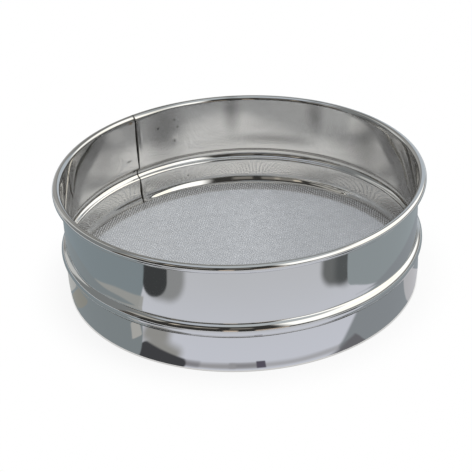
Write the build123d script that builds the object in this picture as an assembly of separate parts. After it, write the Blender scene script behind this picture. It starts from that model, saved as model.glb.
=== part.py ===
from build123d import *
import math
import os

# Tamis drum sieve, in millimetres. The origin is the centre of the foot ring, on the
# surface that the sieve stands on, and +Z is up through the open mouth.
# -Y faces the viewer, and the lap seam of the drum is at the back left.

# Overall
rim_diameter = 250.0
sieve_height = 78.0
sheet = 0.5
fit_clearance = 0.05

# Drum: a rolled sheet ring with a wired rim, a pressed bead and a necked-in lower end
rim_overhang = 4.95
curl_turn = 305.0
wire_clearance = 0.15
bead_middle_height = 30.2
bead_height = 11.3
bead_depth = 3.5
bead_fillet = 1.4
neck_depth = 1.2
neck_height = 7.0
neck_foot = 0.8
seam_azimuth = 128.5
lap_width = 8.0

# Wire cloth: a square plain weave
cloth_wire = 0.38
cloth_pitch = 1.7
cloth_height = 6.0
cloth_turn = -9.3
net_pitch = 13.0
net_border = 3.0
least_gap_share = 0.15

# Outer hoop: the band that clamps the cloth, with a folded hem as its foot
hem_corner = 0.6
hem_foot = 0.5
hem_rise = 3.0
hoop_clearance = 0.3
edge_clearance = 1.5

# Worked out from the values above
wall_diameter = rim_diameter - 2 * rim_overhang
wall_radius = wall_diameter / 2
bore_radius = wall_radius - sheet
curl_radius = (rim_overhang + sheet) / 2
curl_middle_radius = rim_diameter / 2 - curl_radius
curl_middle_height = sieve_height - curl_radius
bead_low = bead_middle_height - bead_height / 2
lap_angle = math.degrees(lap_width / bore_radius)
cloth_thickness = 2 * cloth_wire
cloth_low = cloth_height - cloth_thickness
hoop_bore_radius = wall_radius + cloth_thickness + 2 * fit_clearance
hoop_radius = hoop_bore_radius + sheet
fillet_left = max(bead_fillet - (hoop_bore_radius - wall_radius), 0)
hoop_top = bead_low + math.sqrt(bead_fillet**2 - fillet_left**2) - hoop_clearance


def jog(width, height):
    """Turn and summed radii of two equal and opposite arcs that step a line sideways."""
    turn = 2 * math.atan2(width, height)
    return math.degrees(turn), height / math.sin(turn)


def trail(start, heading, moves, depth):
    """Edges of a sheet's section line, at a depth to the right of its near face.

    A move is a straight length, or an arc's radius on the near face and its turn,
    which is positive to the left.
    """
    edges = []
    point = Vector(start) + heading.rotate(Axis.Z, -90) * depth
    for move in moves:
        if isinstance(move, tuple):
            radius, turn = move
            side = 1 if turn > 0 else -1
            edge = JernArc(point, heading, radius + side * depth, turn)
        else:
            edge = Line(point, point + heading * move)
        edges.append(edge)
        point, heading = edge @ 1, edge % 1
    return edges


def ribbon(start, heading, moves, near, far):
    """Section face of a bent sheet between two depths of its section line."""
    near_edges = trail(start, heading, moves, near)
    far_edges = trail(start, heading, moves, far)
    ends = [
        Line(near_edges[0] @ 0, far_edges[0] @ 0),
        Line(near_edges[-1] @ 1, far_edges[-1] @ 1),
    ]
    return make_face(near_edges + far_edges + ends)


def turned(section, azimuth=0, angle=360):
    """Body of revolution of a section in radius and height, from an azimuth on."""
    body = revolve(Plane.XZ * section, Axis.Z, angle)
    return Rot(Z=azimuth) * body


def ring(inner_radius, outer_radius, low, high):
    """Plain ring with a rectangular section."""
    section = make_face(
        Polyline(
            (inner_radius, low),
            (outer_radius, low),
            (outer_radius, high),
            (inner_radius, high),
            close=True,
        )
    )
    return turned(section)


def neck_moves():
    """Two equal and opposite arcs that lead the sheet out of the neck on its way up."""
    turn, radii = jog(neck_depth, neck_height)
    return [(radii / 2, -turn), (radii / 2, turn)]


def bead_moves():
    """Half-round bead between two fillets, on the inner face of the drum."""
    turn, radii = jog(bead_depth, bead_height / 2)
    fillet = bead_fillet + sheet
    return [(fillet, -turn), (radii - fillet, 2 * turn), (fillet, -turn)]


def wall_moves():
    """Inner face of the drum from its lower edge to the foot of the curl."""
    neck_top = cloth_height + neck_foot + neck_height
    return [
        neck_foot,
        *neck_moves(),
        bead_low - neck_top,
        *bead_moves(),
        curl_middle_height - bead_low - bead_height,
    ]


def make_drum_wall():
    """Drum with its rim curled outward, and the lapped end of its sheet on its inner face."""
    start = (bore_radius - neck_depth, cloth_height)
    upward = Vector(0, 1)
    curl = (curl_radius, -curl_turn)
    shell = ribbon(start, upward, [*wall_moves(), curl], 0, sheet)
    lap = ribbon(start, upward, wall_moves(), -sheet, sheet / 2)
    return turned(shell) + turned(lap, seam_azimuth - lap_angle, lap_angle)


def make_rim_wire():
    """Wire inside the curl, a clearance smaller than the curl's bore."""
    wire_radius = curl_radius - sheet - wire_clearance
    section = Pos(curl_middle_radius, curl_middle_height) * Circle(wire_radius)
    return turned(section)


def make_wire_cloth():
    """Flat cloth as a square net that weighs as much as the weave it stands for."""
    solid_share = math.pi / 4 * cloth_wire / cloth_pitch
    gap = net_pitch * math.sqrt(1 - solid_share)
    open_radius = bore_radius - neck_depth - net_border
    steps = math.ceil(open_radius / net_pitch)
    places = [(step + 0.5) * net_pitch for step in range(-steps, steps)]
    bar = Rectangle(net_pitch - gap, 2 * open_radius)
    bars = [Pos(X=place) * bar for place in places]
    bars += [Rot(Z=90) * one for one in bars]
    openings = Circle(open_radius) - bars
    gaps = [face for face in openings.faces() if face.area > least_gap_share * gap**2]
    net = Circle(hoop_bore_radius - fit_clearance) - gaps
    print("net gaps", len(gaps))
    return Pos(Z=cloth_low) * Rot(Z=cloth_turn) * extrude(net, cloth_thickness)


def make_wire_cloth_edge():
    """Margin of the cloth, folded up between the drum and the hoop."""
    return ring(
        wall_radius + fit_clearance,
        hoop_bore_radius - fit_clearance,
        cloth_height,
        hoop_top - edge_clearance,
    )


def make_outer_hoop():
    """Hoop from its top edge under the bead down to its folded hem."""
    moves = [
        hoop_top - hem_corner,
        (hem_corner, -90),
        hem_foot,
        (hem_corner, -90),
        hem_rise,
    ]
    section = ribbon((hoop_radius, hoop_top), Vector(0, -1), moves, 0, sheet)
    return turned(section)


nodes = {
    "drum_wall": make_drum_wall(),
    "rim_wire": make_rim_wire(),
    "wire_cloth": make_wire_cloth(),
    "wire_cloth_edge": make_wire_cloth_edge(),
    "outer_hoop": make_outer_hoop(),
}

os.makedirs("parts", exist_ok=True)
for name, shape in nodes.items():
    shape.label = name
    export_step(shape, f"parts/{name}.step")
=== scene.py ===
import math
import random

import bpy
import numpy as np
from mathutils import Matrix, Vector


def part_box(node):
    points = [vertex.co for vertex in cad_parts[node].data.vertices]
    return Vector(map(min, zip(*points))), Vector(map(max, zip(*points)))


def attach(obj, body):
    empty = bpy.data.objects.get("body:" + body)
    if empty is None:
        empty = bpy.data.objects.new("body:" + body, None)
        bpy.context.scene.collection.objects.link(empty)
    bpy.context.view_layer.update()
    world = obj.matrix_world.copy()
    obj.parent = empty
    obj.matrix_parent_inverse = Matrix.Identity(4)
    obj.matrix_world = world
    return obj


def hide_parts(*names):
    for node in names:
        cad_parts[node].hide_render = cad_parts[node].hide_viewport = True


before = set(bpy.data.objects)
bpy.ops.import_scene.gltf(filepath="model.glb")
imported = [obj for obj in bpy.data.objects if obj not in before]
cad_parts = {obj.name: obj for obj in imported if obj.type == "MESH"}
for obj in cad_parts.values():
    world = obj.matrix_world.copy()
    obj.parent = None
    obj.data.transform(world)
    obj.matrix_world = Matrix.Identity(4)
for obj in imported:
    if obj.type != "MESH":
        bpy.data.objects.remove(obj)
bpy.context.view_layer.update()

# Tamis drum sieve, in metres, around its CAD model. The origin is the centre of the foot
# ring, -Y faces the viewer, and the lap seam of the drum is at the back left.
mm = 0.001

# Sizes that the frame gives
drum_low, drum_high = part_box("drum_wall")
hoop_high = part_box("outer_hoop")[1]
margin_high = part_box("wire_cloth_edge")[1]
rim_radius = drum_high.x
sieve_height = drum_high.z
cloth_top = drum_low.z
hoop_radius = hoop_high.x
hoop_top = hoop_high.z
margin_top = margin_high.z

# Drum sheet: neck, bead and curl, whose turn is in degrees
sheet = 0.5 * mm
rim_overhang = 4.95 * mm
neck_foot = 0.8 * mm
neck_depth = 1.2 * mm
neck_height = 7.0 * mm
bead_middle_height = 30.2 * mm
bead_height = 11.3 * mm
bead_depth = 3.5 * mm
bead_fillet = 1.4 * mm
curl_turn = 305
wall_radius = rim_radius - rim_overhang
bore_radius = wall_radius - sheet
curl_radius = (rim_overhang + sheet) / 2
curl_middle_height = sieve_height - curl_radius
bead_low = bead_middle_height - bead_height / 2
bead_high = bead_middle_height + bead_height / 2

# Lap seam at the back left, in degrees and metres
seam_azimuth = 128.5
lap_width = 8 * mm
lap_ease = 26 * mm
lap_play = 0.03 * mm
lap_gape = 0.9 * mm
lap_gape_width = 4.5 * mm
rim_notch = 1.1 * mm

# Crescent at the back where the neck was pressed in further: azimuths in degrees,
# heights, and the share of its half width over which its ends fade
press_reach = (46, 126)
press_depth = 1.2 * mm
press_low = 7.2 * mm
press_top = 10.8 * mm
press_drop = 2.1 * mm
press_fade = (0.9, 1.05)

# Azimuth in degrees, height, spread and depth of the small dents in the drum
drum_dents = [
    (119.4, 62.1 * mm, 1.8 * mm, 0.20 * mm),
    (112.6, 66.0 * mm, 2.2 * mm, 0.16 * mm),
    (117.9, 69.4 * mm, 2.4 * mm, -0.12 * mm),
    (113.1, 48.9 * mm, 2.4 * mm, 0.20 * mm),
    (108.9, 16.8 * mm, 0.9 * mm, 0.08 * mm),
    (132.6, 43.7 * mm, 3.2 * mm, 0.05 * mm),
]

# Outer hoop and its hem. Its top edge is a little nearer to the bead than in the CAD.
hem_corner = 0.6 * mm
hem_foot = 0.5 * mm
hem_rise = 3.0 * mm
hem_press_height = 5.2 * mm
hem_press_spread = 1.3 * mm
hem_press_depth = 0.12 * mm
hoop_rise = 0.22 * mm

# Waves that hand rolling leaves in each sheet. The drum's set in over a height above its
# lower edge, and the hoop's between two heights.
drum_waves_rise = 6 * mm
hoop_waves_heights = (2 * mm, 9 * mm)
drum_waves = {
    "seed": 7,
    "depth": 0.035 * mm,
    "shortest": 26 * mm,
    "longest": 70 * mm,
    "count": 14,
}
hoop_waves = {
    "seed": 11,
    "depth": 0.03 * mm,
    "shortest": 30 * mm,
    "longest": 80 * mm,
    "count": 12,
}

# Wire cloth: its turn about the axis is in degrees, and its wires wander sideways
wire = 0.38 * mm
cloth_pitch = 1.7 * mm
cloth_turn = -9.3
fold_radius = 1.7 * mm
fit_clearance = 0.05 * mm
wander_depth = (0.02 * mm, 0.05 * mm)
wander_length = (9 * mm, 22 * mm)
wander_seed = 23
wire_sides = 6
stations_per_pitch = 2
fold_steps = 4
strips_per_way = 3

# Fineness of the rolled sheets
ring_steps = 530
lap_steps = 6
lap_rows = 3
notch_steps = 2
arc_step = math.radians(12.5)
arc_run = 0.6 * mm
run_step = 2.2 * mm
crease_angle = math.radians(40)


def ahead(heading):
    """Unit vectors along a heading, in radius and height."""
    return np.stack([np.cos(heading), np.sin(heading)], -1)


def leftward(heading):
    """Unit vectors square to a heading, on its left."""
    return np.stack([-np.sin(heading), np.cos(heading)], -1)


def section_line(start, heading, moves):
    """Points and headings along the near face of a bent sheet's section.

    A move is a straight length, or an arc's radius and its turn in degrees, which is
    positive to the left.
    """
    point = np.array(start, float)
    points, headings = [point], [heading]
    for move in moves:
        if isinstance(move, tuple):
            radius, turn = move[0], math.radians(move[1])
            side = math.copysign(1, turn)
            middle = point + side * radius * leftward(heading)
            steps = math.ceil(abs(turn) * max(1 / arc_step, radius / arc_run))
            for _ in range(steps):
                heading += turn / steps
                point = middle - side * radius * leftward(heading)
                points.append(point)
                headings.append(heading)
        else:
            steps = math.ceil(move / run_step)
            for _ in range(steps):
                point = point + ahead(heading) * move / steps
                points.append(point)
                headings.append(heading)
    return np.array(points), np.array(headings)


def jog(width, height):
    """Turn in degrees and summed radii of two opposite arcs that step a line sideways."""
    turn = 2 * math.atan2(width, height)
    return math.degrees(turn), height / math.sin(turn)


def smooth_step(value, low, high):
    """Rises gently from 0 at low to 1 at high."""
    share = np.clip((value - low) / (high - low), 0, 1)
    return share * share * (3 - 2 * share)


def arch(value, low, high):
    """Rises from 0 at low to 1 halfway and falls back to 0 at high."""
    return np.sin(math.pi * np.clip((value - low) / (high - low), 0, 1))


def rolling_error(seed, depth, shortest, longest, count, radius):
    """Radial error that hand rolling leaves in a sheet, as a function of azimuth and height."""
    draw = random.Random(seed)
    waves = []
    for _ in range(count):
        length = draw.uniform(shortest, longest)
        lean = draw.uniform(-1, 1)
        around = round(math.tau * radius / length * math.cos(lean))
        upward = math.tau / length * math.sin(lean)
        waves.append((around, upward, draw.uniform(0, math.tau), depth * length / longest))

    def error(azimuth, height):
        return sum(
            size * np.sin(around * azimuth + upward * height + phase)
            for around, upward, phase, size in waves
        )

    return error


def dents(places, radius):
    """Radial push of small dents, each with its azimuth, height, spread and depth."""

    def push(azimuth, height):
        total = 0
        for at, level, spread, depth in places:
            across = radius * (np.mod(azimuth - math.radians(at) + math.pi, math.tau) - math.pi)
            reach = (across**2 + (height - level) ** 2) / spread**2
            total = total + depth * np.exp(-reach)
        return total

    return push


def new_piece(name, points, faces, material):
    """Piece of the sieve that rides on its root, smooth but for its sharp edges."""
    mesh = bpy.data.meshes.new(name)
    mesh.from_pydata(points.tolist(), [], faces)
    mesh.validate()
    mesh.polygons.foreach_set("use_smooth", [True] * len(mesh.polygons))
    mesh.set_sharp_from_angle(angle=crease_angle)
    mesh.materials.append(material)
    piece = bpy.data.objects.new(name, mesh)
    bpy.context.scene.collection.objects.link(piece)
    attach(piece, "root")
    return piece


def rolled_sheet(line, azimuths, push, inset, kept):
    """Points and faces of a bent sheet rolled round the axis.

    push is the radial error at an azimuth and height. inset is how far the sheet lies
    inside the section line, for each row and column. kept says which cells are there.
    """
    section, headings = line
    rows, columns = len(section), len(azimuths)
    outward = -leftward(headings)
    sides = []
    for depth in (0, sheet):
        shift = depth - inset
        radius = section[:, :1] + outward[:, :1] * shift
        height = section[:, 1:] + outward[:, 1:] * shift
        radius = radius + push(azimuths[None, :], height)
        sides.append(np.stack([radius * np.cos(azimuths), radius * np.sin(azimuths), height], -1))
    points = np.concatenate([side.reshape(-1, 3) for side in sides])
    index = np.arange(rows * columns).reshape(rows, columns)
    far = rows * columns
    corners = [index[:-1, :-1], index[:-1, 1:], index[1:, 1:], index[1:, :-1]]
    padded = np.pad(kept, 1)
    beside = [padded[:-2, 1:-1], padded[1:-1, 2:], padded[2:, 1:-1], padded[1:-1, :-2]]
    near_faces = np.stack([corner[kept] for corner in corners], 1)
    faces = [near_faces[:, ::-1], near_faces + far]
    # An edge that a cell shares with no other is closed through the sheet
    for side in range(4):
        open_side = kept & ~beside[side]
        first, second = corners[side][open_side], corners[(side + 1) % 4][open_side]
        faces.append(np.stack([first, second, second + far, first + far], 1))
    faces = np.concatenate(faces)
    # Points on no face are left out
    used, packed = np.unique(faces, return_inverse=True)
    return points[used], packed.reshape(faces.shape).tolist()


def drum_section():
    """Near face of the drum's section, and how many of its rows lie below the curl."""
    neck_turn, neck_radii = jog(neck_depth, neck_height)
    bead_turn, bead_radii = jog(bead_depth, bead_height / 2)
    fillet = bead_fillet + sheet
    wall = [
        neck_foot,
        (neck_radii / 2, -neck_turn),
        (neck_radii / 2, neck_turn),
        bead_low - cloth_top - neck_foot - neck_height,
        (fillet, -bead_turn),
        (bead_radii - fillet, 2 * bead_turn),
        (fillet, -bead_turn),
        curl_middle_height - bead_high,
    ]
    start = (bore_radius - neck_depth, cloth_top)
    upward = math.radians(90)
    below = len(section_line(start, upward, wall)[0])
    return section_line(start, upward, [*wall, (curl_radius, -curl_turn)]), below


def pressed(azimuth, height):
    """Radial push of the crescent at the back, deepest at its foot."""
    low, high = (math.radians(end) for end in press_reach)
    side = (np.mod(azimuth, math.tau) - (low + high) / 2) / ((high - low) / 2)
    there = 1 - smooth_step(np.abs(side), *press_fade)
    top = press_top - press_drop * np.minimum(side**2, 1)
    rise = np.clip((height - press_low) / (top - press_low), 0, 1)
    return -press_depth * there * (1 - rise)


def lap_inset(heights, turns, below):
    """How far the sheet lies inside its section line, for each row and column.

    It eases inward where it passes over its own start, and its free edge gapes between
    the cloth and the bead, and between the bead and the curl.
    """
    lap = lap_width / bore_radius
    ease = lap_ease / bore_radius
    around = smooth_step(turns, math.tau - lap - ease, math.tau - lap)
    upward = 1 - smooth_step(np.arange(len(heights)), below - 1, below + lap_rows)
    tip = smooth_step(turns, math.tau - lap_gape_width / bore_radius, math.tau)
    gape = arch(heights, cloth_top, bead_low)
    gape += arch(heights, bead_high, curl_middle_height) * upward
    over = (sheet + lap_play) * around[None, :] * upward[:, None]
    return over + lap_gape * tip[None, :] * gape[:, None]


def make_drum_wall(material):
    """Drum of one strip: it starts under the lap, goes once round and ends on top of it.

    The strip's start has no curl, and the rim has a small notch beside it.
    """
    line, below = drum_section()
    notch = rim_notch / bore_radius
    turns = np.concatenate(
        [
            np.linspace(-lap_width / bore_radius, 0, lap_steps, endpoint=False),
            np.linspace(0, notch, notch_steps, endpoint=False),
            np.linspace(notch, math.tau, ring_steps),
        ]
    )
    inset = lap_inset(line[0][:, 1], turns, below)
    kept = np.ones((len(line[0]) - 1, len(turns) - 1), bool)
    kept[below - 1:, :lap_steps] = False
    kept[below + 1:, :lap_steps + notch_steps] = False
    rolling = rolling_error(**drum_waves, radius=wall_radius)
    marks = dents(drum_dents, bore_radius)

    def push(azimuth, height):
        held = smooth_step(height, cloth_top, cloth_top + drum_waves_rise)
        curled = smooth_step(height, curl_middle_height - curl_radius, curl_middle_height)
        waves = rolling(azimuth, height) + marks(azimuth, height)
        return held * (1 - curled) * waves + pressed(azimuth, height)

    azimuths = turns + math.radians(seam_azimuth)
    points, faces = rolled_sheet(line, azimuths, push, inset, kept)
    piece = new_piece("drum_wall_sheet", points, faces, material)
    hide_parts("drum_wall")


def make_outer_hoop(material):
    """Hoop with its lower edge folded inward, and the press mark above the fold."""
    start = (hoop_radius, hoop_top + hoop_rise)
    moves = [
        hoop_top + hoop_rise - hem_corner,
        (hem_corner, -90),
        hem_foot,
        (hem_corner, -90),
        hem_rise,
    ]
    line = section_line(start, math.radians(-90), moves)
    azimuths = np.linspace(0, math.tau, ring_steps + 1)
    rolling = rolling_error(**hoop_waves, radius=hoop_radius)

    def push(azimuth, height):
        free = smooth_step(height, *hoop_waves_heights)
        press = np.exp(-(((height - hem_press_height) / hem_press_spread) ** 2))
        return free * rolling(azimuth, height) - hem_press_depth * press

    inset = np.zeros((len(line[0]), len(azimuths)))
    kept = np.ones((len(line[0]) - 1, len(azimuths) - 1), bool)
    points, faces = rolled_sheet(line, azimuths, push, inset, kept)
    piece = new_piece("outer_hoop_sheet", points, faces, material)
    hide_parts("outer_hoop")


def wire_path(row, lift, margin_radius, draw):
    """One wire of the cloth along +X, in its row, with both ends folded up.

    lift is +1 in one direction of the weave and -1 in the other, so that the wires
    pass over and under each other. A wire too short to fold is left out.
    """
    place = (row + 0.5) * cloth_pitch
    middle = cloth_top - wire
    end = math.sqrt(max(margin_radius**2 - place**2, 0))
    if end < fold_radius + cloth_pitch:
        return None
    flat = end - fold_radius
    step = cloth_pitch / stations_per_pitch
    first = math.ceil(-flat / step)
    last = math.floor(flat / step)
    along = np.arange(first, last + 1) * step
    weave = lift * np.sin(math.pi * (along / cloth_pitch + row))
    held = 1 - smooth_step(np.abs(along), flat - 2 * cloth_pitch, flat)
    wander = draw.uniform(*wander_depth)
    length = draw.uniform(*wander_length)
    drift = wander * np.sin(along / length + draw.uniform(0, math.tau))
    body = np.stack([along, place + drift * held, middle + wire / 2 * weave * held], 1)
    turn = np.linspace(0, math.pi / 2, fold_steps + 1)[1:]
    fold_out = flat + fold_radius * np.sin(turn)
    fold_up = middle + fold_radius * (1 - np.cos(turn))
    rise = np.stack([fold_out, np.full(len(turn), place), fold_up], 1)
    top = np.array([[end, place, margin_top]])
    right = np.concatenate([rise, top])
    left = right[::-1] * np.array([-1, 1, 1])
    return np.concatenate([left, body, right])


def wire_tube(path):
    """Points and faces of a round wire whose path bends only up and down."""
    count = len(path)
    tangent = np.gradient(path, axis=0)
    tangent[:, 1] = 0
    tangent /= np.linalg.norm(tangent, axis=1)[:, None]
    across = np.array([0.0, 1.0, 0.0])
    upward = np.cross(tangent, across)
    angles = np.arange(wire_sides) * math.tau / wire_sides
    ring = np.cos(angles)[:, None] * across + np.sin(angles)[:, None] * upward[:, None, :]
    points = (path[:, None, :] + wire / 2 * ring).reshape(-1, 3)
    index = np.arange(count * wire_sides).reshape(count, wire_sides)
    beside = np.roll(index, -1, axis=1)
    faces = np.stack([index[:-1], index[1:], beside[1:], beside[:-1]], -1).reshape(-1, 4).tolist()
    return points, faces, [index[0].tolist(), index[-1, ::-1].tolist()]


def joined_wires(tubes, turn):
    """Points and faces of several wires as one mesh, turned to their direction.

    Turned wires are mirrored first, which keeps the rows of the weave in step, and so
    their faces are turned back out.
    """
    spin = np.array(Matrix.Rotation(math.radians(turn + cloth_turn), 3, "Z"))
    mirror = np.array([1, -1, 1]) if turn else np.array([1, 1, 1])
    points, faces, base = [], [], 0
    for tube_points, tube_faces, caps in tubes:
        points.append(tube_points * mirror @ spin.T)
        faces += [[corner + base for corner in face] for face in tube_faces + caps]
        base += len(tube_points)
    if turn:
        faces = [face[::-1] for face in faces]
    return np.concatenate(points), faces


def make_wire_cloth(material):
    """Woven cloth in both directions, each as a few strips of wires side by side."""
    half_count = math.ceil(wall_radius / cloth_pitch)
    rows = range(-half_count, half_count)
    ways = {
        "crosswise": (0, 1, wall_radius + fit_clearance + wire / 2),
        "lengthwise": (90, -1, wall_radius + 2 * fit_clearance + 3 * wire / 2),
    }
    draw = random.Random(wander_seed)
    for way, (turn, lift, margin_radius) in ways.items():
        paths = [wire_path(row, lift, margin_radius, draw) for row in rows]
        tubes = [wire_tube(path) for path in paths if path is not None]
        for strip in range(strips_per_way):
            low = round(len(tubes) * strip / strips_per_way)
            high = round(len(tubes) * (strip + 1) / strips_per_way)
            points, faces = joined_wires(tubes[low:high], turn)
            piece = new_piece(f"wire_cloth_{way}_{strip + 1}", points, faces, material)
            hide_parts("wire_cloth", "wire_cloth_edge")


def feed(tree, socket, value):
    """Link a socket to another one, or give it a value."""
    if isinstance(value, bpy.types.NodeSocket):
        tree.links.new(value, socket)
    else:
        socket.default_value = value


def node(tree, kind, inputs=None, **settings):
    """Node with its settings made and its inputs set or linked."""
    made = tree.nodes.new(kind)
    for setting, value in settings.items():
        setattr(made, setting, value)
    for label, value in (inputs or {}).items():
        feed(tree, made.inputs[label], value)
    return made


def maths(tree, operation, *values):
    """Result of one sum on numbers or sockets."""
    return node(tree, "ShaderNodeMath", dict(enumerate(values)), operation=operation).outputs[0]


def vectors(tree, operation, *values):
    """Result of one sum on vectors."""
    made = node(tree, "ShaderNodeVectorMath", dict(enumerate(values)), operation=operation)
    return made.outputs["Value" if operation == "LENGTH" else "Vector"]


def between(tree, value, low, high, bottom=0.0, top=1.0):
    """Value eased from bottom at low to top at high."""
    inputs = {"Value": value, "From Min": low, "From Max": high, "To Min": bottom, "To Max": top}
    made = node(tree, "ShaderNodeMapRange", inputs, interpolation_type="SMOOTHSTEP")
    return made.outputs["Result"]


def mixed(tree, factor, first, second):
    """Blend of two colours, through the colour sockets of a Mix node."""
    inputs = {"Factor": factor, 6: first, 7: second}
    return node(tree, "ShaderNodeMix", inputs, data_type="RGBA").outputs[2]


def group(name, inputs, outputs):
    """Empty shader group with its named sockets."""
    tree = bpy.data.node_groups.new(name, "ShaderNodeTree")
    for label, kind, value in inputs:
        made = tree.interface.new_socket(label, in_out="INPUT", socket_type=f"NodeSocket{kind}")
        made.default_value = value
    for label, kind in outputs:
        tree.interface.new_socket(label, in_out="OUTPUT", socket_type=f"NodeSocket{kind}")
    entry, leave = tree.nodes.new("NodeGroupInput"), tree.nodes.new("NodeGroupOutput")
    return tree, entry.outputs, leave


def use(tree, made_group, **inputs):
    """Outputs of a shader group placed in a material with its own values.

    An underscore in the name of a value stands for the space in its socket's name.
    """
    made = node(tree, "ShaderNodeGroup", node_tree=made_group)
    for label, value in inputs.items():
        feed(tree, made.inputs[label.replace("_", " ")], value)
    return made.outputs


def own_place(tree):
    """Place on a piece in its own coordinates, in metres."""
    return node(tree, "ShaderNodeTexCoord").outputs["Object"]


def turned_back(tree, place, angle):
    """Place turned about the upright axis by minus an angle."""
    back = maths(tree, "MULTIPLY", angle, -1.0)
    inputs = {"Vector": place, "Angle": back}
    return node(tree, "ShaderNodeVectorRotate", inputs, rotation_type="Z_AXIS").outputs[0]


def from_axis(tree, place):
    """Level distance of a place from the sieve's axis."""
    return vectors(tree, "LENGTH", vectors(tree, "MULTIPLY", place, (1, 1, 0)))


def from_front(tree, place):
    """Direction of a place round the axis, in radians from the front and positive to +X."""
    split = node(tree, "ShaderNodeSeparateXYZ", {"Vector": place}).outputs
    return maths(tree, "ARCTAN2", split["X"], maths(tree, "MULTIPLY", split["Y"], -1.0))


def make_card_shape():
    """Mask of a round-cornered card with a soft edge, on any flat pair of coordinates."""
    tree, given, leave = group(
        "card_shape",
        [
            ("Place", "Vector", (0, 0, 0)),
            ("Middle", "Vector", (0, 0, 0)),
            ("Turn", "Float", 0.0),
            ("Half size", "Vector", (1, 1, 1)),
            ("Corner", "Float", 0.1),
            ("Soft edge", "Float", 0.1),
        ],
        [("Mask", "Float")],
    )
    offset = vectors(tree, "SUBTRACT", given["Place"], given["Middle"])
    turned = turned_back(tree, offset, given["Turn"])
    inner = vectors(tree, "SUBTRACT", given["Half size"], given["Corner"])
    beyond = vectors(tree, "SUBTRACT", vectors(tree, "ABSOLUTE", turned), inner)
    outside = vectors(tree, "MAXIMUM", beyond, (0, 0, 0))
    away = maths(tree, "SUBTRACT", vectors(tree, "LENGTH", outside), given["Corner"])
    half = maths(tree, "MULTIPLY", given["Soft edge"], 0.5)
    inside = maths(tree, "MULTIPLY", half, -1.0)
    tree.links.new(between(tree, away, half, inside), leave.inputs["Mask"])
    return tree


# Spacing of the fine lines as a share of their length
line_slimness = 0.02


def make_polish():
    """Fine level lines, long for their spacing, and a patchy haze."""
    tree, given, leave = group(
        "polishing_marks",
        [
            ("Line spacing", "Float", 0.5 * mm),
            ("Patch size", "Float", 30 * mm),
            ("Patch contrast", "Float", 0.5),
        ],
        [("Lines", "Float"), ("Haze", "Float")],
    )
    place = own_place(tree)
    across = maths(tree, "DIVIDE", 1.0, given["Line spacing"])
    along = maths(tree, "MULTIPLY", across, line_slimness)
    stretch = node(tree, "ShaderNodeCombineXYZ", {"X": along, "Y": along, "Z": across}).outputs[0]
    streaked = vectors(tree, "MULTIPLY", place, stretch)
    streaks = {"Vector": streaked, "Scale": 1.0, "Detail": 3.0}
    lines = node(tree, "ShaderNodeTexNoise", streaks).outputs["Fac"]
    size = maths(tree, "DIVIDE", 1.0, given["Patch size"])
    clouds = {"Vector": place, "Scale": size, "Detail": 2.0, "Distortion": 0.6}
    patches = node(tree, "ShaderNodeTexNoise", clouds).outputs["Fac"]
    low = maths(tree, "SUBTRACT", 0.5, maths(tree, "MULTIPLY", given["Patch contrast"], 0.5))
    high = maths(tree, "SUBTRACT", 1.0, low)
    tree.links.new(lines, leave.inputs["Lines"])
    tree.links.new(between(tree, patches, low, high), leave.inputs["Haze"])
    return tree


def make_spot():
    """Mask that fades with the distance from a point of the sieve, stretched along its axes."""
    tree, given, leave = group(
        "spot",
        [
            ("Middle", "Vector", (0, 0, 0)),
            ("Reach", "Float", mm),
            ("Stretch", "Vector", (1, 1, 1)),
        ],
        [("Mask", "Float")],
    )
    from_middle = vectors(tree, "SUBTRACT", own_place(tree), given["Middle"])
    offset = vectors(tree, "DIVIDE", from_middle, given["Stretch"])
    distance = vectors(tree, "LENGTH", offset)
    tree.links.new(between(tree, distance, given["Reach"], 0.0), leave.inputs["Mask"])
    return tree


def make_seam_line():
    """Mask of a narrow upright line on the drum, at an azimuth."""
    tree, given, leave = group(
        "seam_line",
        [("Azimuth", "Float", 0.0), ("Half width", "Float", mm), ("Soft edge", "Float", mm)],
        [("Mask", "Float")],
    )
    turned = turned_back(tree, own_place(tree), given["Azimuth"])
    split = node(tree, "ShaderNodeSeparateXYZ", {"Vector": turned}).outputs
    there = maths(tree, "GREATER_THAN", split["X"], 0.0)
    away = maths(tree, "ABSOLUTE", split["Y"])
    far = maths(tree, "ADD", given["Half width"], given["Soft edge"])
    line = between(tree, away, far, given["Half width"])
    tree.links.new(maths(tree, "MULTIPLY", line, there), leave.inputs["Mask"])
    return tree


def on_wall(radius, azimuth, height):
    """Point of a round wall from its azimuth in degrees and its height."""
    angle = math.radians(azimuth)
    return (radius * math.cos(angle), radius * math.sin(angle), height)


def new_material(name):
    """Material with its node tree and its Principled shader."""
    material = bpy.data.materials.new(name)
    material.use_nodes = True
    tree = material.node_tree
    return material, tree, tree.nodes["Principled BSDF"]


# Plain colours
black = (0, 0, 0, 1)
white = (1, 1, 1, 1)

# Polished steel: colours, the marks of the wheel, and the roughness that they add
steel = (0.645, 0.64, 0.628, 1)
steel_marks = {"Line_spacing": 0.35 * mm, "Patch_size": 24 * mm, "Patch_contrast": 0.5}
steel_relief = {"Strength": 0.04, "Distance": 0.01 * mm}
steel_roughness = 0.025
steel_haze_roughness = 0.03
steel_line_roughness = 0.02
heat_tint = (0.42, 0.27, 0.14, 1)
# Dark line along the lap seam, for the dull cut edge and painted shade in the gap: colour, share
# and line
seam_edge_shade = (0.05, 0.045, 0.04, 1)
seam_edge_shade_share = 0.8
seam_edge_shade_line = {"Half_width": 0.25 * mm, "Soft_edge": 0.35 * mm}

# Rays past this many mirrorings between the walls meet an even grey
last_mirroring = 3.5
settled_grey = (0.22, 0.216, 0.205, 1)
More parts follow.
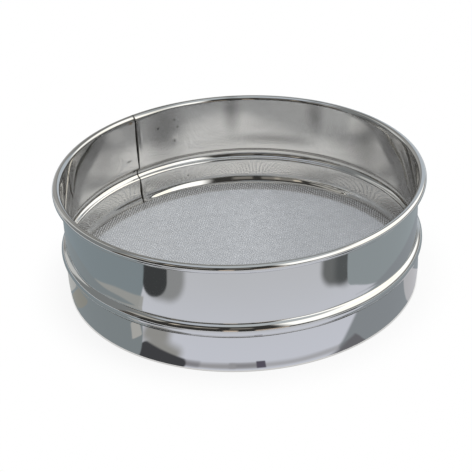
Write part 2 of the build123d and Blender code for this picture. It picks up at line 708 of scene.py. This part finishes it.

# Azimuth in degrees, height, stretch and depth of the heat tints, and of the patches of
# painted dark reflection on the walls and painted shade in small spots
rim_tint = (130.4, 73.6 * mm, (2.6 * mm, 2.6 * mm, 2.0 * mm), 0.75)
hoop_tint = (118, hoop_top / 2, (1.2 * mm, 1.2 * mm, 18 * mm), 0.75)
painted_dark_patches = [
    # Painted dark reflections on the walls
    (91.4, 66.0 * mm, (10 * mm, 14 * mm, 26 * mm), 0.42),
    (60.0, 68.0 * mm, (10 * mm, 14 * mm, 24 * mm), 0.42),
    (76.0, 43.5 * mm, (56 * mm, 30 * mm, 7 * mm), 0.42),
    (38.0, 58.0 * mm, (20 * mm, 20 * mm, 44 * mm), 0.42),
    (117.0, 60.0 * mm, (24 * mm, 20 * mm, 44 * mm), 0.44),
    (150.0, 60.0 * mm, (20 * mm, 34 * mm, 40 * mm), 0.20),
    (142.0, 53.0 * mm, (34 * mm, 24 * mm, 30 * mm), 0.26),
    (28.6, 54.0 * mm, (34 * mm, 24 * mm, 30 * mm), 0.36),
    (44.0, 48.0 * mm, (34 * mm, 30 * mm, 24 * mm), 0.30),
    # Painted shade in small spots, most of them at the dents
    (119.4, 62.1 * mm, (1.6 * mm, 1.6 * mm, 1.6 * mm), 0.80),
    (112.6, 66.0 * mm, (1.5 * mm, 1.5 * mm, 1.3 * mm), 0.60),
    (111.6, 59.8 * mm, (1.4 * mm, 1.4 * mm, 1.4 * mm), 0.60),
    (113.1, 48.9 * mm, (1.8 * mm, 1.8 * mm, 2.2 * mm), 0.60),
    (132.6, 43.7 * mm, (4.0 * mm, 4.0 * mm, 1.5 * mm), 0.60),
    (108.9, 16.8 * mm, (1.2 * mm, 1.2 * mm, 1.2 * mm), 0.70),
]

# Drawn wire: the marks of the die, how much it shines as metal, and how much darker and
# rougher its patches are
wire_marks = {"Line_spacing": 0.9 * mm, "Patch_size": 5 * mm, "Patch_contrast": 0.8}
wire_relief = {"Strength": 0.1, "Distance": 0.02 * mm}
wire_metallic = 0.4
wire_shade = 0.8
wire_haze_roughness = 0.08


def settle(tree, shader):
    """Grey light that the metal gives off to rays already mirrored a few times."""
    depth = node(tree, "ShaderNodeLightPath").outputs["Ray Depth"]
    late = maths(tree, "GREATER_THAN", depth, last_mirroring)
    tree.links.new(mixed(tree, late, black, settled_grey), shader.inputs["Emission Color"])
    shader.inputs["Emission Strength"].default_value = 1.0


def add_relief(tree, shader, lines, relief):
    """Fine lines of a surface as a slight bump."""
    bump = node(tree, "ShaderNodeBump", {**relief, "Height": lines})
    tree.links.new(bump.outputs["Normal"], shader.inputs["Normal"])


def make_polished_steel(name, groups, radius, tint, patches=(), seams=()):
    """Mirror polished stainless sheet of a wall, with a heat tint where it was welded.

    Its patches are painted dark reflections and painted shade in small spots, and a painted
    dark line along its seams stands for the cut edge and the shade in the gap.
    """
    material, tree, shader = new_material(name)
    # The heat tint, then the painted dark reflections and painted shade, each blended towards its
    # paint
    spots = [(*tint, heat_tint)] + [(*patch, black) for patch in patches]
    colour = steel
    for azimuth, height, stretch, depth, paint in spots:
        middle = on_wall(radius, azimuth, height)
        spot = use(tree, groups["spot"], Middle=middle, Reach=1.0, Stretch=stretch)["Mask"]
        colour = mixed(tree, maths(tree, "MULTIPLY", spot, depth), colour, paint)
    # Painted dark line of each seam, for its cut edge and the shade in its gap
    for azimuth in seams:
        seam = use(tree, groups["seam"], Azimuth=math.radians(azimuth), **seam_edge_shade_line)["Mask"]
        colour = mixed(tree, maths(tree, "MULTIPLY", seam, seam_edge_shade_share), colour, seam_edge_shade)
    tree.links.new(colour, shader.inputs["Base Color"])
    shader.inputs["Metallic"].default_value = 1.0
    marks = use(tree, groups["polish"], **steel_marks)
    hazy = maths(tree, "MULTIPLY_ADD", marks["Haze"], steel_haze_roughness, steel_roughness)
    streaked = maths(tree, "MULTIPLY_ADD", marks["Lines"], steel_line_roughness, hazy)
    tree.links.new(streaked, shader.inputs["Roughness"])
    add_relief(tree, shader, marks["Lines"], steel_relief)
    settle(tree, shader)
    material.cycles.emission_sampling = "NONE"
    return material


def make_wire_steel(name, groups, colour, roughness):
    """Drawn stainless wire, a little dull, and uneven in patches a few wires wide."""
    material, tree, shader = new_material(name)
    marks = use(tree, groups["polish"], **wire_marks)
    dark = tuple(wire_shade * part for part in colour[:3]) + (1,)
    tree.links.new(mixed(tree, marks["Haze"], dark, colour), shader.inputs["Base Color"])
    shader.inputs["Metallic"].default_value = wire_metallic
    rough = maths(tree, "MULTIPLY_ADD", marks["Haze"], wire_haze_roughness, roughness)
    tree.links.new(rough, shader.inputs["Roughness"])
    add_relief(tree, shader, marks["Lines"], wire_relief)
    return material


# Studio: what the metal mirrors, as soft cards on a dome and on the table. A card has its
# middle, turn in degrees, half size, corner, soft edge and colour, and it is endless in the
# third direction. Cards of the room are measured in degrees, round from the front and up
# from the table. The middle of a card of the table is in degrees from the front and in
# metres from the axis, and its sizes are in metres, true at the card ring.
endless = 1000
room_radius = 1.6
room_low = -8
room_high = 89
room_rings = 24
room_sides = 64
room_grey = (0.30, 0.30, 0.29, 1)
room_cards = {
    "ceiling": ((0, 90), 0, (400, 28), 4, 6, (0.62, 0.67, 0.70)),
    "left_grey": ((-95, 22), 0, (42, 40), 8, 8, (0.27, 0.285, 0.29)),
    "left_stripe": ((-70, 24), 0, (5, 30), 4, 4, (0.11, 0.10, 0.09)),
    "left_high_light": ((-80, 72), 0, (50, 13), 4, 6, (0.64, 0.69, 0.76)),
    "front_dark": ((-14, 25), 0, (50, 36), 8, 5, (0.05, 0.048, 0.045)),
    "front_brown": ((-20, 38), 0, (24, 7), 2, 4, (0.27, 0.255, 0.23)),
    "brown_gap": ((-14, 38), 0, (3.5, 8), 1, 2, (0.05, 0.048, 0.045)),
    "brown_spot": ((-29, 38), 0, (2, 4), 1, 2, (0.50, 0.46, 0.40)),
    "warm_glint": ((-45, 38), 0, (3, 5), 1, 2, (0.80, 0.72, 0.60)),
    "left_beige": ((-67, 40), 0, (13, 7), 3, 5, (0.55, 0.54, 0.50)),
    "left_back_light": ((-128, 30), 0, (9, 24), 4, 4, (0.75, 0.76, 0.75)),
    "right_light": ((81, 37), 0, (58, 22), 5, 12, (1.70, 1.70, 1.66)),
    "right_warm_light": ((85, 33), 0, (30, 7), 4, 6, (1.75, 1.66, 1.42)),
    "right_back": ((158, 10), 0, (20, 26), 6, 8, (0.62, 0.68, 0.74)),
    "left_back": ((-154, 10), 0, (14, 26), 6, 8, (0.44, 0.44, 0.43)),
    "low_warm_glint": ((-9, 8), 0, (4, 7), 2, 2, (0.75, 0.62, 0.50)),
    "low_warm_edge": ((14, 7), 0, (9, 5), 1.5, 1.5, (0.66, 0.55, 0.45)),
}
card_ring = 200 * mm
table_card_reach = (122.5 * mm, 700 * mm)
table_card_height = 0.3 * mm
table_card_sides = 96
table_near = (0.80, 0.83, 0.93, 1)
table_far = (0.71, 0.73, 0.78, 1)
table_cards = {
    "foot_shadow": ((0, 0.1268), 0, (1.0, 0.0016), 0.001, 0.004, (0.52, 0.525, 0.56)),
    "foot_shadow_middle": ((-1.5, 0.1270), 0, (0.016, 0.0020), 0.002, 0.004, (0.36, 0.36, 0.39)),
    "foot_shadow_left": ((-12.5, 0.1266), 0, (0.030, 0.0018), 0.002, 0.005, (0.44, 0.44, 0.47)),
    "foot_shadow_deep": ((-19, 0.1268), 0, (0.013, 0.0022), 0.002, 0.006, (0.31, 0.31, 0.34)),
    "foot_block": ((3.9, 0.1275), 0, (0.0050, 0.0030), 0.001, 0.002, (0.13, 0.12, 0.16)),
    "left_soft_bar": ((-37.5, 0.273), 4, (0.035, 0.087), 0.028, 0.012, (0.36, 0.37, 0.38)),
    "left_far_grey": ((-101, 0.293), 0, (0.192, 0.128), 0.004, 0.003, (0.29, 0.345, 0.375)),
    "left_dark_bar": ((-43.7, 0.272), 9, (0.0214, 0.086), 0.021, 0.003, (0.063, 0.067, 0.070)),
    "left_hoop_patch": ((-34, 0.150), 0, (0.020, 0.012), 0.010, 0.016, (0.40, 0.40, 0.39)),
    "left_hoop_soft": ((-29, 0.136), -14, (0.024, 0.009), 0.008, 0.014, (0.40, 0.40, 0.39)),
    "left_wedge": ((-28.7, 0.1244), -9, (0.032, 0.010), 0.006, 0.003, (0.075, 0.077, 0.085)),
    "left_low_band": ((-58.5, 0.1685), 9, (0.050, 0.0076), 0.001, 0.003, (0.46, 0.465, 0.45)),
    "left_near_grey": ((-100, 0.143), 0, (0.182, 0.0245), 0.001, 0.002, (0.29, 0.33, 0.35)),
    "left_beige_patch": ((-74, 0.131), 0, (0.018, 0.008), 0.006, 0.003, (0.34, 0.34, 0.31)),
    "left_hoop_edge": ((-46, 0.126), 35, (0.030, 0.028), 0.001, 0.002, (0.29, 0.33, 0.35)),
    "left_hoop_light": ((-42.6, 0.1460), 47, (0.0060, 0.0110), 0.002, 0.002, (0.56, 0.56, 0.54)),
    "left_light_patch": ((-92, 0.128), 0, (0.040, 0.012), 0.008, 0.003, (0.50, 0.51, 0.50)),
    "right_soft_bar": ((47.2, 0.275), -17, (0.0240, 0.088), 0.020, 0.012, (0.20, 0.21, 0.215)),
    "right_dark_bar": ((51.0, 0.270), -17, (0.0150, 0.088), 0.014, 0.016, (0.125, 0.135, 0.14)),
    "right_side_grey": ((112, 0.285), 0, (0.148, 0.130), 0.004, 0.003, (0.37, 0.42, 0.445)),
    "right_far_grey": ((70.1, 0.300), -17, (0.046, 0.138), 0.006, 0.002, (0.37, 0.42, 0.445)),
    "right_slant": ((40.6, 0.1237), 27, (0.035, 0.020), 0.004, 0.004, (0.33, 0.36, 0.39)),
    "right_wedge": ((29.6, 0.1166), 13, (0.033, 0.009), 0.002, 0.004, (0.20, 0.20, 0.22)),
    "right_near_low": ((60, 0.131), 0, (0.0733, 0.011), 0.001, 0.002, (0.33, 0.36, 0.39)),
    "right_near_grey": ((100, 0.143), 0, (0.185, 0.024), 0.004, 0.004, (0.33, 0.36, 0.39)),
    "right_light_patch": ((74, 0.1165), 31, (0.034, 0.023), 0.002, 0.002, (0.60, 0.60, 0.63)),
}

# Table: how far it reaches, and how much of it is plain white beside the foot. It clears to
# white between two distances from the axis, and under the hoop its painted shade darkens between
# others.
table_half = 6.0
table_paper = (0.92, 0.92, 0.93, 1)
white_at_foot = 0.85
table_clears = (0.121, 0.155)
foot_shade = (0.116, 0.119)
foot_shade_mirrored = (0.104, 0.112)
# Painted shade under the cloth, as the camera sees it and as the walls mirror it, and darker
# painted shade under the hoop's foot
under_cloth = (0.38, 0.40, 0.43, 1)
under_cloth_mirrored = (0.36, 0.35, 0.335, 1)
under_foot = (0.10, 0.09, 0.08, 1)

# Painted pools of light on the table under the cloth that the walls mirror, as cards laid in X
# and Y
painted_light_patches = {
    "bright_middle": ((0.004, 0.050), 0, (0.024, 0.072), 0.020, 0.030, (1.15, 1.13, 1.09)),
    "bright_left": ((-0.056, 0.080), 0, (0.016, 0.014), 0.010, 0.014, (0.90, 0.89, 0.85)),
    "bright_right": ((0.058, 0.078), 0, (0.018, 0.014), 0.010, 0.014, (0.66, 0.65, 0.63)),
}

# World and lamps: a lamp has its place, size, power and colour
world_light = 0.55
lamps = {
    "ceiling_lamp": ((0.0, 0.1, 1.4), 1.4, 11, (1, 1, 1)),
    "window_lamp": ((1.1, -0.3, 0.9), 0.9, 4, (1, 1, 0.97)),
}


def painted_cards(tree, card_shape, place, scale, cards, ground):
    """Colour of soft-edged cards laid over a ground, each over the ones before it.

    scale takes the first number of a card's middle to the unit of the place.
    """
    colour = ground
    for middle, turn, half, corner, soft, paint in cards.values():
        mask = use(
            tree,
            card_shape,
            Place=place,
            Middle=(middle[0] * scale, middle[1], 0),
            Turn=math.radians(turn),
            Half_size=(*half, endless),
            Corner=corner,
            Soft_edge=soft,
        )["Mask"]
        colour = mixed(tree, mask, colour, (*paint, 1))
    return colour


def stage_piece(name, points, faces, material):
    """Something of the studio that isn't part of the sieve."""
    mesh = bpy.data.meshes.new(name)
    mesh.from_pydata(points, [], faces)
    mesh.materials.append(material)
    piece = bpy.data.objects.new(name, mesh)
    bpy.context.scene.collection.objects.link(piece)
    return piece


def mirrored_only(piece):
    """The piece shows in the metal's reflections and nowhere else."""
    piece.visible_camera = False
    piece.visible_diffuse = False
    piece.visible_transmission = False
    piece.visible_shadow = False
    piece.visible_volume_scatter = False


def glow(tree, colour):
    """Plain light of a colour, and the material output that it feeds."""
    emission = node(tree, "ShaderNodeEmission", {"Color": colour, "Strength": 1.0})
    output = node(tree, "ShaderNodeOutputMaterial")
    tree.links.new(emission.outputs[0], output.inputs["Surface"])
    return emission, output


def empty_material(name):
    """Material without a shader, and its tree."""
    material = bpy.data.materials.new(name)
    material.use_nodes = True
    material.node_tree.nodes.clear()
    material.cycles.emission_sampling = "NONE"
    return material, material.node_tree


def dome():
    """Points and faces of the room, closed above and open below the table."""
    points, faces = [], []
    for ring in range(room_rings):
        lift = math.radians(room_low + (room_high - room_low) * ring / (room_rings - 1))
        reach, height = room_radius * math.cos(lift), room_radius * math.sin(lift)
        for side in range(room_sides):
            turn = math.tau * side / room_sides
            points.append((reach * math.cos(turn), reach * math.sin(turn), height))
    for ring in range(room_rings - 1):
        row, above = ring * room_sides, (ring + 1) * room_sides
        for side in range(room_sides):
            beside = (side + 1) % room_sides
            faces.append((row + side, row + beside, above + beside, above + side))
    top_row = (room_rings - 1) * room_sides
    faces.append(tuple(range(top_row, top_row + room_sides)))
    return points, faces


def table_ring():
    """Points and faces of the flat ring that carries the cards of the table."""
    sides = table_card_sides
    turns = [math.tau * side / sides for side in range(sides)]
    points = [
        (reach * math.cos(turn), reach * math.sin(turn), table_card_height)
        for reach in table_card_reach
        for turn in turns
    ]
    faces = [
        (side, side + sides, (side + 1) % sides + sides, (side + 1) % sides)
        for side in range(sides)
    ]
    return points, faces


def make_studio_room(card_shape):
    """Dome of soft cards round the sieve."""
    material, tree = empty_material("studio_cards")
    place = own_place(tree)
    height = node(tree, "ShaderNodeSeparateXYZ", {"Vector": place}).outputs["Z"]
    climb = maths(tree, "ARCTAN2", height, from_axis(tree, place))
    azimuth = maths(tree, "DEGREES", from_front(tree, place))
    elevation = maths(tree, "DEGREES", climb)
    flat = node(tree, "ShaderNodeCombineXYZ", {"X": azimuth, "Y": elevation}).outputs[0]
    glow(tree, painted_cards(tree, card_shape, flat, 1, room_cards, room_grey))
    mirrored_only(stage_piece("studio_room", *dome(), material))


def make_table_cards(card_shape):
    """Cards laid on the table round the sieve, as a ring that its bright walls mirror."""
    material, tree = empty_material("table_cards")
    place = own_place(tree)
    around = maths(tree, "MULTIPLY", from_front(tree, place), card_ring)
    distance = from_axis(tree, place)
    flat = node(tree, "ShaderNodeCombineXYZ", {"X": around, "Y": distance}).outputs[0]
    fade = between(tree, distance, hoop_radius, 2 * hoop_radius)
    ground = mixed(tree, fade, table_near, table_far)
    scale = math.radians(1) * card_ring
    glow(tree, painted_cards(tree, card_shape, flat, scale, table_cards, ground))
    mirrored_only(stage_piece("table_cards", *table_ring(), material))


def seen_directly(tree):
    """1 for the camera's own rays and for what metal and glass show."""
    path = node(tree, "ShaderNodeLightPath").outputs
    seen = maths(tree, "MAXIMUM", path["Is Camera Ray"], path["Is Glossy Ray"])
    return maths(tree, "MAXIMUM", seen, path["Is Transmission Ray"])


def shaded_table(tree, card_shape, place, reach):
    """Colour of the painted half shade under the cloth, with darker painted shade under the hoop.

    The walls mirror another tone of it than the camera sees, and painted pools of light.
    """
    mirrored = painted_cards(tree, card_shape, place, 1, painted_light_patches, under_cloth_mirrored)
    by_camera = node(tree, "ShaderNodeLightPath").outputs["Is Camera Ray"]
    unseen = maths(tree, "SUBTRACT", 1.0, by_camera)
    near_foot = between(tree, reach, *foot_shade)
    mirrored_foot = between(tree, reach, *foot_shade_mirrored)
    foot = maths(tree, "MAXIMUM", near_foot, maths(tree, "MULTIPLY", mirrored_foot, unseen))
    return mixed(tree, foot, mixed(tree, by_camera, mirrored, under_cloth), under_foot)


def make_table(card_shape):
    """Pale table that keeps the sieve's soft shadow beside the foot, shows painted shade under
    the cloth, and clears to white away from it.
    """
    material, tree = empty_material("table")
    place = own_place(tree)
    reach = from_axis(tree, place)
    open_table = between(tree, reach, *table_clears, white_at_foot, 1.0)
    inside = between(tree, reach, hoop_radius, hoop_radius - sheet)
    share = maths(tree, "MAXIMUM", open_table, inside)
    clear = maths(tree, "MULTIPLY", share, seen_directly(tree))
    shade = shaded_table(tree, card_shape, place, reach)
    emission, output = glow(tree, mixed(tree, inside, white, shade))
    paper = node(tree, "ShaderNodeBsdfDiffuse", {"Color": table_paper})
    layers = {0: clear, 1: paper.outputs[0], 2: emission.outputs[0]}
    blend = node(tree, "ShaderNodeMixShader", layers)
    tree.links.new(blend.outputs[0], output.inputs["Surface"])
    corners = [(-1, -1), (1, -1), (1, 1), (-1, 1)]
    points = [(table_half * x, table_half * y, 0) for x, y in corners]
    stage_piece("table", points, [(0, 1, 2, 3)], material)


def make_world():
    """Even pale surroundings: white where they are seen, and soft light elsewhere."""
    world = bpy.data.worlds.new("studio_white")
    bpy.context.scene.world = world
    world.use_nodes = True
    tree = world.node_tree
    backdrop = tree.nodes["Background"]
    backdrop.inputs["Color"].default_value = white
    strength = between(tree, seen_directly(tree), 0.0, 1.0, world_light, 1.0)
    tree.links.new(strength, backdrop.inputs["Strength"])


def make_lamp(name, place, size, power, colour):
    """Soft square lamp aimed at the sieve. The metal mirrors the cards in its place."""
    lamp = bpy.data.lights.new(name, "AREA")
    lamp.shape = "SQUARE"
    lamp.size = size
    lamp.energy = power
    lamp.color = colour
    piece = bpy.data.objects.new(name, lamp)
    piece.location = place
    piece.rotation_euler = (-Vector(place)).to_track_quat("-Z", "Y").to_euler()
    piece.visible_glossy = False
    bpy.context.scene.collection.objects.link(piece)


# Camera: it looks down on the front of the sieve. Its angles are in degrees, and its lens is
# in millimetres.
view_distance = 849.0 * mm
view_elevation = 30.303
view_roll = -2.779
aim_right = 4.963 * mm
aim_up = -22.590 * mm
lens_length = 92.023
view_limit = 20


def make_camera():
    """Camera at the photograph's angle, turned a little about its own axis."""
    tilt, roll = math.radians(view_elevation), math.radians(view_roll)
    forward = Vector((0, math.cos(tilt), -math.sin(tilt)))
    level, upright = Vector((1, 0, 0)), Vector((0, math.sin(tilt), math.cos(tilt)))
    side = math.cos(roll) * level + math.sin(roll) * upright
    top = math.cos(roll) * upright - math.sin(roll) * level
    place = -forward * view_distance - side * aim_right - top * aim_up
    camera = bpy.data.cameras.new("camera")
    camera.lens = lens_length
    camera.clip_end = view_limit
    piece = bpy.data.objects.new("camera", camera)
    turn = Matrix((side, top, -forward)).transposed().to_4x4()
    piece.matrix_world = Matrix.Translation(place) @ turn
    bpy.context.scene.collection.objects.link(piece)
    bpy.context.scene.camera = piece


def dress_rim_wire(material):
    """The wire inside the curl keeps its CAD solid, in its own steel."""
    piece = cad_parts["rim_wire"]
    piece.data.materials.clear()
    piece.data.materials.append(material)


bpy.context.scene.view_settings.view_transform = "Standard"

groups = {"polish": make_polish(), "spot": make_spot(), "seam": make_seam_line()}
drum_steel = make_polished_steel(
    "polished_drum_steel",
    groups,
    radius=bore_radius,
    tint=rim_tint,
    patches=painted_dark_patches,
    seams=[seam_azimuth],
)
hoop_steel = make_polished_steel(
    "polished_hoop_steel", groups, radius=hoop_radius, tint=hoop_tint
)
cloth_steel = make_wire_steel(
    "woven_wire_steel", groups, colour=(0.84, 0.86, 0.89, 1), roughness=0.40
)
rim_steel = make_wire_steel(
    "rim_wire_steel", groups, colour=(0.58, 0.58, 0.57, 1), roughness=0.32
)

make_camera()
make_drum_wall(drum_steel)
make_outer_hoop(hoop_steel)
make_wire_cloth(cloth_steel)
dress_rim_wire(rim_steel)

card_shape = make_card_shape()
make_studio_room(card_shape)
make_table_cards(card_shape)
make_table(card_shape)
make_world()
for name, lamp in lamps.items():
    make_lamp(name, *lamp)
